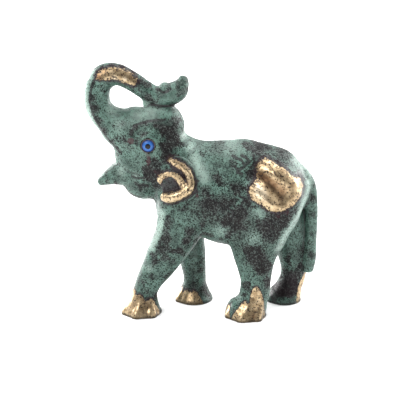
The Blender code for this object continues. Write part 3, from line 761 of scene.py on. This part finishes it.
def hollowness(mesh, normals, rounds):
    """Above 0 in creases and below 0 on ridges, over a reach that grows with the rounds."""
    count = len(mesh.vertices)
    edges = np.empty(len(mesh.edges) * 2, np.int32)
    mesh.edges.foreach_get("vertices", edges)
    a, b = edges.reshape(-1, 2).T
    links = np.bincount(a, minlength=count) + np.bincount(b, minlength=count)
    points = coordinates(mesh)
    mean = points.copy()
    for _ in range(rounds):
        total = np.zeros_like(mean)
        for axis in range(3):
            total[:, axis] = np.bincount(a, mean[b, axis], count)
            total[:, axis] += np.bincount(b, mean[a, axis], count)
        mean = total / np.maximum(links, 1)[:, None]
    return ((mean - points) * normals).sum(1)


def rough_cast(mesh):
    """The slight unevenness of the cast skin, as real relief. Rubbed patches are smoother."""
    points, normals = coordinates(mesh), outward(mesh)
    lift = np.zeros(len(points))
    for scale, height in CAST_NOISE:
        lift += [height * noise.noise(Vector(point) * scale) for point in points]
    lift *= np.clip(points[:, 2], 0, 1)
    lift *= np.clip(0.2 - bareness(points, normals), 0.1, 1)
    lift += (np.abs(normals[:, 1]) > SIDE_ON) * blobs(points, HAUNCH_RELIEF)
    move_to(mesh, points + normals * lift[:, None])


def press_sockets(mesh):
    """Presses the beads' round sockets into both sides of the head."""
    skin = Skin(mesh)
    points = coordinates(mesh)
    reach = (BEAD_DIAMETER / 2 + BEAD_CLEARANCE) / UNIT
    depth = (BEAD_THICKNESS - BEAD_PROUD + BEAD_CLEARANCE) / UNIT
    away = np.hypot(points[:, 0] - EYE[0], points[:, 2] - EYE[1])
    for side in (LEFT, RIGHT):
        floor = side * skin.across(*EYE, side) - depth
        inside = (away < reach) & (points[:, 1] * side > 0)
        points[inside, 1] = side * np.minimum(side * points[inside, 1], floor)
    move_to(mesh, points)


def add_attribute(mesh, name, values):
    """Stores a number at each vertex, for the materials to read."""
    layer = mesh.attributes.new(name, "FLOAT", "POINT")
    layer.data.foreach_set("value", np.asarray(values, np.float32))


def paleness_and_highlights(points):
    """How pale the patina is in stretches, with painted highlights along the edges."""
    pale_and_highlight = blobs(points, PALE_PATINA_AND_HIGHLIGHTS)
    # Painted highlights along the outline, fainter on the hidden right side.
    for line, width in PAINTED_EDGE_HIGHLIGHTS:
        away = distance_to_line(points[:, [0, 2]], smooth_rows(line, 5))
        pale_and_highlight += 0.9 * falloff(away, width) * np.where(points[:, 1] < 1, 1.0, 0.4)
    return np.clip(pale_and_highlight, 0, 1.3)


def scratches(points):
    """1 along the scratched marks. They are fainter on the hidden side."""
    marked = np.zeros(len(points))
    for line in MARKS:
        away = distance_to_line(points[:, [0, 2]], smooth_rows(line, 5))
        marked = np.maximum(marked, falloff(away, MARK_WIDTH))
    return marked * np.where(points[:, 1] < 0, 1.0, 0.5)


def paint(mesh):
    """Stores where the bronze is rubbed bare, clouded, spotted and creased, and where highlights
    and shade are painted on it.
    """
    points, normals = coordinates(mesh), outward(mesh)
    # Painted shade on the low parts of the right feet.
    low_right = (points[:, 1] > 1) & (points[:, 2] < FAR_FOOT_SHADE_CEILING)
    painted_foot_shade = blobs(points, FAR_FOOT_SHADE) * low_right
    layers = {
        "rubbed": np.clip(bareness(points, normals), -3, 3),
        "cloud": blobs(points, CLOUDS) * np.where(points[:, 1] < 0, 1.0, 0.8),
        "pale_and_highlight": paleness_and_highlights(points),
        "pitted": blobs(points, PITTED),
        "bronze_light_and_shade": blobs(points, BRONZE_HIGHLIGHTS_AND_SHADE),
        "clean": np.clip(blobs(points, CLEAN), 0, 1),
        "ear_and_foot_shade": blobs(points, EAR_HOLLOW_SHADE) * near_ear(points) + painted_foot_shade,
        "spot": blobs(points, SPOTS) * (np.abs(normals[:, 1]) > SIDE_ON),
        "mark": scratches(points),
        "crease": hollowness(mesh, normals, 10),
        # Painted shade along the bottom of each foot, where it meets the floor.
        "contact_shade": np.clip(1.8 - points[:, 2] / 0.6, 0, 1),
    }
    for name, values in layers.items():
        add_attribute(mesh, name, values)


def colour(name):
    """The linear colour of that name."""
    parts = []
    for part in COLOURS[name]:
        part = part / 255
        parts.append(part / 12.92 if part <= 0.04045 else ((part + 0.055) / 1.055) ** 2.4)
    return (*parts, 1.0)


class Nodes:
    """Builds the node tree of a material or a world, around its shader."""

    def __init__(self, owner, shader="Principled BSDF"):
        owner.use_nodes = True
        self.owner = owner
        self.tree = owner.node_tree
        self.shader = self.tree.nodes[shader]

    def add(self, kind, **settings):
        node = self.tree.nodes.new(kind)
        for name, value in settings.items():
            setattr(node, name, value)
        return node

    def feed(self, socket, source):
        """Gives the socket a value, or links another node's output to it."""
        if isinstance(source, (int, float, tuple)):
            socket.default_value = source
        else:
            self.tree.links.new(source, socket)

    def shade(self, sources):
        for name, source in sources.items():
            self.feed(self.shader.inputs[name], source)

    def math(self, operation, first, second=None, clamp=False):
        node = self.add("ShaderNodeMath", operation=operation, use_clamp=clamp)
        self.feed(node.inputs[0], first)
        if second is not None:
            self.feed(node.inputs[1], second)
        return node.outputs[0]

    def times(self, first, second):
        return self.math("MULTIPLY", first, second)

    def ramp(self, source, low, high, to_low=0.0, to_high=1.0, smooth=True):
        kind = "SMOOTHSTEP" if smooth else "LINEAR"
        node = self.add("ShaderNodeMapRange", interpolation_type=kind)
        for socket, value in zip(node.inputs, (source, low, high, to_low, to_high)):
            self.feed(socket, value)
        return node.outputs[0]

    def mix(self, factor, first, second):
        node = self.add("ShaderNodeMix", data_type="RGBA")
        self.feed(node.inputs["Factor"], factor)
        self.feed(node.inputs[6], first)
        self.feed(node.inputs[7], second)
        return node.outputs[2]

    def attribute(self, name):
        return self.add("ShaderNodeAttribute", attribute_name=name).outputs["Fac"]

    def place(self):
        """Coordinates in figure units."""
        node = self.add("ShaderNodeVectorMath", operation="SCALE")
        self.feed(node.inputs[0], self.add("ShaderNodeTexCoord").outputs["Object"])
        node.inputs["Scale"].default_value = 1 / UNIT
        return node.outputs[0]

    def noise(self, place, scale, detail, roughness, distortion=0.0):
        node = self.add("ShaderNodeTexNoise")
        names = ("Vector", "Scale", "Detail", "Roughness", "Distortion")
        for name, source in zip(names, (place, scale, detail, roughness, distortion)):
            self.feed(node.inputs[name], source)
        return node.outputs["Fac"]

    def broken(self, source, noise, amount):
        """The source with its edges broken up by a noise."""
        return self.math("ADD", source, self.times(self.math("SUBTRACT", noise, 0.5), amount))

    def bump(self, height):
        """Gives the shader a fine relief."""
        node = self.add("ShaderNodeBump")
        for name, source in (("Strength", 0.4), ("Distance", 0.10 * UNIT), ("Height", height)):
            self.feed(node.inputs[name], source)
        self.shade({"Normal": node.outputs["Normal"]})


def cloudiness(n, place, middle):
    """How dark and thin the patina is: known clouds, and others at random."""
    cloud = n.times(n.attribute("cloud"), n.ramp(middle, 0.25, 0.62, 0.45, 1.3))
    cloud = n.math("ADD", cloud, n.ramp(n.noise(place, 0.26, 4.0, 0.6), 0.50, 0.68, 0.0, 0.8))
    cloud = n.math("SUBTRACT", cloud, n.attribute("pale_and_highlight"))
    return n.ramp(cloud, 0.0, 1.0, smooth=False)


def patina_pits(n, place, grain, cloud):
    """Dark specks, which close up into a mottle where the patina is thin."""
    clean = n.math("ADD", n.attribute("clean"), n.times(n.attribute("pale_and_highlight"), 0.7))
    level = n.math("ADD", n.math("ADD", n.times(cloud, -0.10), 0.578), n.times(clean, 0.06))
    speck = n.ramp(n.math("SUBTRACT", grain, level), -0.004, 0.012)
    grit = n.noise(place, 2.9, 2.0, 0.6)
    fine = n.ramp(n.math("SUBTRACT", grit, level), -0.008, 0.012, 0.0, 0.9)
    return n.math("MAXIMUM", speck, fine)


def patina_colour(n, place, middle, grain, cloud, pits):
    """The green in paler and deeper smears, with its pits, veins, marks and spots, painted shade
    with dirt in the creases, painted shade in the ear's hollows and on the far feet, and painted
    highlights on the ridges and along the edges.
    """
    broad = n.noise(place, 0.13, 3.0, 0.6)
    skin = n.mix(n.ramp(middle, 0.38, 0.62), colour("deep_green"), colour("green"))
    skin = n.mix(n.ramp(broad, 0.45, 0.66, 0.0, 0.6), skin, colour("light_green"))
    # Paler patina, with painted highlights along the edges.
    pale_and_highlight = n.math("MULTIPLY", n.attribute("pale_and_highlight"), 0.55, clamp=True)
    skin = n.mix(pale_and_highlight, skin, colour("pale_green_and_highlight"))
    skin = n.mix(n.ramp(cloud, 0.1, 0.9, 0.0, 0.75), skin, colour("cloud"))
    dark = n.mix(n.ramp(middle, 0.4, 0.6), colour("pit"), colour("brown_pit"))
    skin = n.mix(n.times(pits, 0.95), skin, dark)
    # Thin veins wander where a noise is near its middle.
    vein = n.math("ABSOLUTE", n.math("SUBTRACT", n.noise(place, 0.36, 4.0, 0.6), 0.5))
    vein = n.times(n.ramp(vein, 0.004, 0.016, 1.0, 0.0), n.ramp(broad, 0.44, 0.56))
    skin = n.mix(n.times(vein, 0.8), skin, colour("vein"))
    mark = n.ramp(n.broken(n.attribute("mark"), grain, 1.6), 0.34, 0.52)
    skin = n.mix(n.times(mark, 0.88), skin, colour("mark"))
    spot = n.broken(n.attribute("spot"), grain, 1.2)
    skin = n.mix(n.ramp(spot, 0.4, 0.6, 0.0, 0.85), skin, colour("spot"))
    # Painted shade in the ear's hollows and on the far right feet.
    ear_and_foot_shade = n.broken(n.attribute("ear_and_foot_shade"), grain, 0.8)
    skin = n.mix(n.ramp(ear_and_foot_shade, 0.3, 0.8, 0.0, 0.9), skin, colour("hollow_shade"))
    # Creases are painted darker, as shade with dirt, and ridges are a little paler, as a painted
    # highlight.
    crease = n.attribute("crease")
    skin = n.mix(n.ramp(crease, 0.05, 0.26, 0.0, 0.85), skin, colour("crease_dirt_and_shade"))
    return n.mix(n.ramp(crease, -0.25, -0.04, 0.25, 0.0), skin, colour("ridge_highlight_green"))


def bronze_pits(n, place):
    """Dark pits in the bare bronze, thicker towards its edge."""
    worn = n.ramp(n.attribute("rubbed"), 0.0, 1.6, 0.05, 0.0)
    worn = n.math("ADD", worn, n.times(n.attribute("pitted"), 0.07))
    return n.ramp(n.math("ADD", n.noise(place, 1.9, 3.0, 0.5, 0.6), worn), 0.588, 0.60)


def bronze_colour(n, place, pits):
    """The bare bronze, with painted highlights on its swells and ridges, painted shade in its
    creases, and painted shade with brown dirt in its hollows.
    """
    blend = n.ramp(n.noise(place, 0.8, 3.0, 0.6), 0.35, 0.68)
    bronze = n.mix(blend, colour("bronze"), colour("light_bronze"))
    bronze_light_and_shade, crease = n.attribute("bronze_light_and_shade"), n.attribute("crease")
    # Painted highlight where the tone is over 0, and painted shade with brown dirt where it is
    # below 0.
    bronze = n.mix(n.ramp(bronze_light_and_shade, 0.0, 1.0, 0.0, 0.85), bronze, colour("painted_bronze_highlight"))
    bronze = n.mix(n.ramp(bronze_light_and_shade, -1.0, 0.0, 0.8, 0.0), bronze, colour("brown_bronze_and_shade"))
    # Painted shade in the creases, and a painted highlight on the ridges.
    bronze = n.mix(n.ramp(crease, 0.0, 0.16, 0.0, 0.75), bronze, colour("bronze_crease_shade"))
    bronze = n.mix(n.ramp(crease, -0.3, -0.06, 0.35, 0.0), bronze, colour("bronze_ridge_highlight"))
    return n.mix(n.times(pits, 0.92), bronze, colour("bronze_pit"))


def bronze_material():
    """Green patina, and bare bronze with a dark burnt border where it is rubbed."""
    n = Nodes(bpy.data.materials.new("patinated_bronze"))
    place = n.place()
    middle = n.noise(place, 0.5, 4.0, 0.65)
    grain = n.noise(place, 1.7, 3.0, 0.8)
    cloud = cloudiness(n, place, middle)
    pits = patina_pits(n, place, grain, cloud)
    rubbed = n.broken(n.attribute("rubbed"), n.noise(place, 0.9, 4.0, 0.7), 2.2)
    bare = n.ramp(rubbed, -0.12, 0.15)
    covered = n.math("SUBTRACT", 1.0, bare)
    bare_pits = bronze_pits(n, place)

    skin = patina_colour(n, place, middle, grain, cloud, pits)
    skin = n.mix(n.times(n.ramp(rubbed, -1.2, -0.35), 0.9), skin, colour("burnt"))
    surface = n.mix(bare, skin, bronze_colour(n, place, bare_pits))
    # Painted shade at the bottom of the feet, where they meet the floor.
    surface = n.mix(n.times(n.attribute("contact_shade"), 0.85), surface, colour("foot_contact_shade"))
    clear = n.math("SUBTRACT", 1.0, n.times(bare_pits, 0.85))
    rough = n.ramp(n.math("ADD", middle, n.times(pits, 0.3)), 0.3, 0.9, 0.40, 0.58)
    n.shade({
        "Base Color": surface,
        "Metallic": n.times(n.times(bare, clear), 0.95),
        "Roughness": n.math("ADD", n.times(rough, covered), n.times(bare, 0.33)),
        "Specular IOR Level": n.math("SUBTRACT", 0.36, n.times(pits, 0.3)),
        "Coat Weight": 0.06,
        "Coat Roughness": 0.3,
    })
    height = n.math("ADD", n.times(pits, -0.5), n.times(grain, 0.5))
    height = n.times(height, covered)
    n.bump(n.math("SUBTRACT", height, n.times(n.times(bare_pits, bare), 0.4)))
    return n.owner


def bead_material():
    """Blue glass, darker towards its edge, with a dark pupil."""
    n = Nodes(bpy.data.materials.new("blue_bead_glass"))
    out = n.broken(n.attribute("out"), n.noise(n.place(), 1.2, 2.0, 0.5), 0.08)
    blue = n.mix(n.ramp(out, 0.45, 0.98), colour("bead_light"), colour("bead_dark"))
    tint = n.mix(n.ramp(out, 0.40, 0.48), colour("pupil"), blue)
    n.shade({"Base Color": tint, "Roughness": 0.22, "Specular IOR Level": 0.25})
    return n.owner


def glue_material():
    n = Nodes(bpy.data.materials.new("dark_glue"))
    place = n.place()
    blend = n.ramp(n.noise(place, 1.5, 3.0, 0.6), 0.35, 0.65)
    tint = n.mix(blend, colour("glue"), colour("light_glue"))
    n.shade({"Base Color": tint, "Roughness": 0.4})
    n.bump(n.noise(place, 2.5, 2.0, 0.5))
    return n.owner


def piece(name, mesh, material):
    mesh.materials.append(material)
    mesh.shade_smooth()
    made = bpy.data.objects.new(name, mesh)
    bpy.context.collection.objects.link(made)
    return made


def fit_in_box(mesh, corners):
    """Centres the mesh on the solid that it dresses, and keeps it just inside that solid's box."""
    low, high = corners.min(0), corners.max(0)
    points = coordinates(mesh) * UNIT
    middle = (low + high) / 2 - (points.min(0) + points.max(0)) / 2
    placed = points + [middle[0], middle[1], 0]
    placed = np.clip(placed, low + BOX_MARGIN, high - BOX_MARGIN)
    placed[points[:, 2] < BOX_MARGIN, 2] = 0.0
    move_to(mesh, placed / UNIT)


def fine_casting(material):
    """The casting again, from the same shapes, with a finer skin and its patina."""
    skin = skin_with_features(body_masses())
    carve(skin)
    rough_cast(skin)
    stand_on_ground(skin)
    press_sockets(skin)
    paint(skin)
    fit_in_box(skin, np.array(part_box("elephant_casting")))
    skin.set_sharp_from_angle(angle=math.radians(60))
    made = piece("elephant_skin", skin, material)
    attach(made, "root")
    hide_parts("elephant_casting")


def bead_with_glue(word, side, glass, glue):
    """A rounder bead in the place of the solid one, and the glue that holds it."""
    low, high = np.array(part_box(f"{word}_eye_bead"))
    middle = (low + high) / 2
    back = high[1] if side == LEFT else low[1]
    mesh = round_bead(f"{word}_bead_fine", BEAD_DIAMETER / 2, BEAD_THICKNESS, rings=24, sides=72)
    points = coordinates(mesh) * UNIT
    add_attribute(mesh, "out", np.hypot(points[:, 0], points[:, 2]) / (BEAD_DIAMETER / 2))
    if side == RIGHT:
        mesh.transform(Matrix.Rotation(math.pi, 4, "Z"))
    mesh.transform(Matrix.Translation((middle[0], back, middle[2])))
    bead = piece(f"{word}_bead", mesh, glass)
    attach(bead, "root")
    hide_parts(f"{word}_eye_bead")
    skin_level = back + side * (BEAD_THICKNESS - BEAD_PROUD - GLUE_SINK)
    ring = glue_ring(f"{word}_glue", middle[0], skin_level, middle[2])
    glued = piece(f"{word}_glue", ring, glue)
    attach(glued, "root")


def glue_ring(name, x, y, z, turns=64, sides=12):
    """An uneven closed ring of glue around the glass, in the plane y."""
    middle = BEAD_DIAMETER / 2 + BEAD_CLEARANCE * 0.5
    bm = bmesh.new()
    rings = []
    for index in range(turns):
        turn = math.tau * index / turns
        thick = GLUE_THICKNESS * (1 + 0.18 * math.sin(3 * turn + 0.7) + 0.1 * math.sin(7 * turn))
        ring = []
        for step in range(sides):
            roll = math.tau * step / sides
            out = middle + thick * math.cos(roll)
            sunk = y + 1.5 * thick * math.sin(roll)
            place = (x + out * math.cos(turn), sunk, z + out * math.sin(turn))
            ring.append(bm.verts.new(place))
        rings.append(ring)
    for index, ring in enumerate(rings):
        following = rings[(index + 1) % turns]
        for step in range(sides):
            after = (step + 1) % sides
            bm.faces.new((ring[step], ring[after], following[after], following[step]))
    bmesh.ops.recalc_face_normals(bm, faces=bm.faces)
    return mesh_from(bm, name)


def add_floor():
    bm = bmesh.new()
    bmesh.ops.create_grid(bm, x_segments=1, y_segments=1, size=3.0)
    n = Nodes(bpy.data.materials.new("pale_floor"))
    n.shade({"Base Color": (0.92, 0.92, 0.92, 1.0), "Roughness": 0.6, "Specular IOR Level": 0.2})
    floor = piece("floor", mesh_from(bm, "floor"), n.owner)


def aim(thing, target):
    thing.rotation_euler = (Vector(target) - thing.location).to_track_quat("-Z", "Y").to_euler()


def add_light(name, place, size, power):
    light = bpy.data.lights.new(name, "AREA")
    light.shape = "SQUARE"
    light.size = size
    light.energy = power
    made = bpy.data.objects.new(name, light)
    made.location = place
    bpy.context.collection.objects.link(made)
    aim(made, LAMP_TARGET)


def add_camera():
    azimuth, elevation = math.radians(CAMERA_AZIMUTH), math.radians(CAMERA_ELEVATION)
    back = Vector((
        math.sin(azimuth) * math.cos(elevation),
        -math.cos(azimuth) * math.cos(elevation),
        math.sin(elevation),
    ))
    camera = bpy.data.cameras.new("camera")
    camera.sensor_width = SENSOR_WIDTH
    camera.lens = SENSOR_WIDTH * CAMERA_DISTANCE / VIEW_WIDTH
    camera.clip_start = 0.01
    made = bpy.data.objects.new("camera", camera)
    made.location = Vector(CAMERA_TARGET) + back * CAMERA_DISTANCE
    bpy.context.collection.objects.link(made)
    aim(made, CAMERA_TARGET)
    bpy.context.scene.camera = made


def light_studio():
    """A bright surround behind, above and beside the object, and a darker one in front."""
    world = bpy.data.worlds.new("studio")
    n = Nodes(world, "Background")
    split = n.add("ShaderNodeSeparateXYZ")
    n.feed(split.inputs[0], n.add("ShaderNodeTexCoord").outputs["Generated"])
    x, y, z = split.outputs
    behind = n.ramp(y, -0.35, 0.35, FRONT_GLOW, BACK_GLOW)
    beside = n.ramp(n.math("ABSOLUTE", x), 0.55, 0.9, 0.0, SIDE_GLOW)
    above = n.ramp(z, 0.2, 0.9, 0.0, TOP_GLOW)
    total = n.math("ADD", n.math("ADD", behind, beside), above)
    n.shade({"Color": (1.0, 1.0, 1.0, 1.0), "Strength": total})
    bpy.context.scene.world = world
    bpy.context.scene.view_settings.view_transform = "Standard"
    for name, (place, size, power) in LAMPS.items():
        add_light(name, place, size, power)


def main():
    bronze = bronze_material()
    glass = bead_material()
    glue = glue_material()
    fine_casting(bronze)
    bead_with_glue("left", LEFT, glass, glue)
    bead_with_glue("right", RIGHT, glass, glue)
    add_floor()
    add_camera()
    light_studio()


main()
